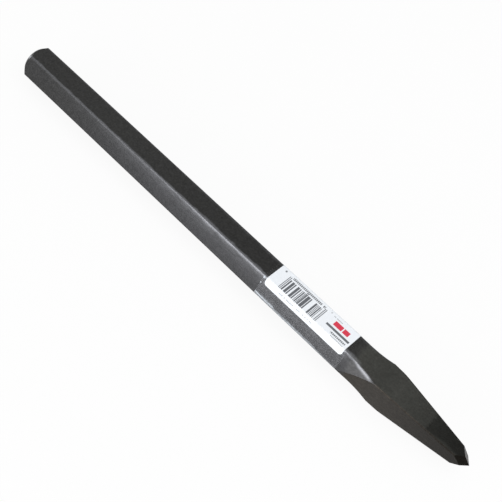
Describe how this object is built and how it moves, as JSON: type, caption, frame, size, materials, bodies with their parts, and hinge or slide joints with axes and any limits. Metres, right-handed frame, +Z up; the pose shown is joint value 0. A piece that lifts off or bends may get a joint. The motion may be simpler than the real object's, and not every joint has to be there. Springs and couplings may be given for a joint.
{
  "type": "bull point chisel",
  "caption": "Hexagonal steel bar forged down to a square taper with a ground four-sided point, for breaking masonry by hammer blows; a paper label sits under clear film.",
  "frame": {"origin": "under the middle of the tool, on the plane of the flat that it rests on", "axes": "+X along the bar towards the point, +Z up from the flat it rests on, +Y to the far side"},
  "size_m": [0.3048, 0.022, 0.0192],
  "materials": {
    "forged_steel": "dark forging scale, worn to grey on the edges, bare ground facets at the point",
    "label_paper": "white, smooth",
    "clear_film": "thin clear gloss film"
  },
  "bodies": {
    "root": {"chisel_bar": "forged_steel", "paper_label": "label_paper", "clear_film": "clear_film"}
  },
  "joints": []
}
